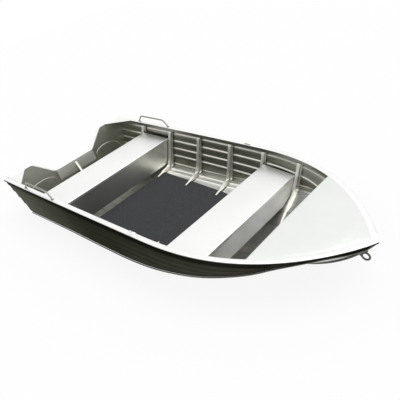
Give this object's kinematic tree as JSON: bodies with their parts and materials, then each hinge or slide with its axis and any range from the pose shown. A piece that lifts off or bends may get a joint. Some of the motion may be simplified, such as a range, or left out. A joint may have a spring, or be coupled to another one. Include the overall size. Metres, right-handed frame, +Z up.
{
  "type": "open aluminium dinghy",
  "caption": "Small open aluminium boat with ribbed pressed sides, bench seats, a short foredeck and a transom cut away for an outboard motor.",
  "frame": {"origin": "on the waterline at the middle of the boat's length, on the centre line, afloat and empty on an even keel", "axes": "+X towards the bow, +Y to port, +Z up"},
  "size_m": [3.5659, 1.636, 0.5962],
  "materials": {
    "hull": "mill finish, faintly brushed",
    "trim": "extruded, satin",
    "gunwale": "extruded, satin",
    "deck": "satin sheet",
    "seat": "satin sheet",
    "frame": "folded sheet, satin",
    "pad": "satin plate",
    "fittings": "polished",
    "plug": "matt",
    "carpet": "needle-punched marine carpet, charcoal"
  },
  "bodies": {
    "root": {"side_port": "hull", "side_starboard": "hull", "bottom_port": "hull", "bottom_starboard": "hull", "chine_port": "trim", "chine_starboard": "trim", "keel": "trim", "stem": "trim", "strakes": "trim", "transom": "hull", "motor_pad_inner": "pad", "motor_pad_outer": "pad", "transom_knee": "frame", "drain_plug": "plug", "gunwale_port": "gunwale", "gunwale_starboard": "gunwale", "bow_cap": "gunwale", "foredeck": "deck", "bow_eye": "fittings", "quarter_plates": "deck", "handle_port": "fittings", "handle_starboard": "fittings", "rowlock_port": "fittings", "rowlock_starboard": "fittings", "carpet": "carpet", "seat_aft_top": "seat", "seat_aft_back": "seat", "seat_aft_front": "seat", "seat_aft_base": "seat", "seat_forward_top": "seat", "seat_forward_back": "seat", "seat_forward_front": "seat", "seat_forward_base": "seat", "frame_1": "frame", "frame_2": "frame", "frame_3": "frame", "frame_4": "frame", "frame_5": "frame", "frame_6": "frame"}
  },
  "joints": []
}
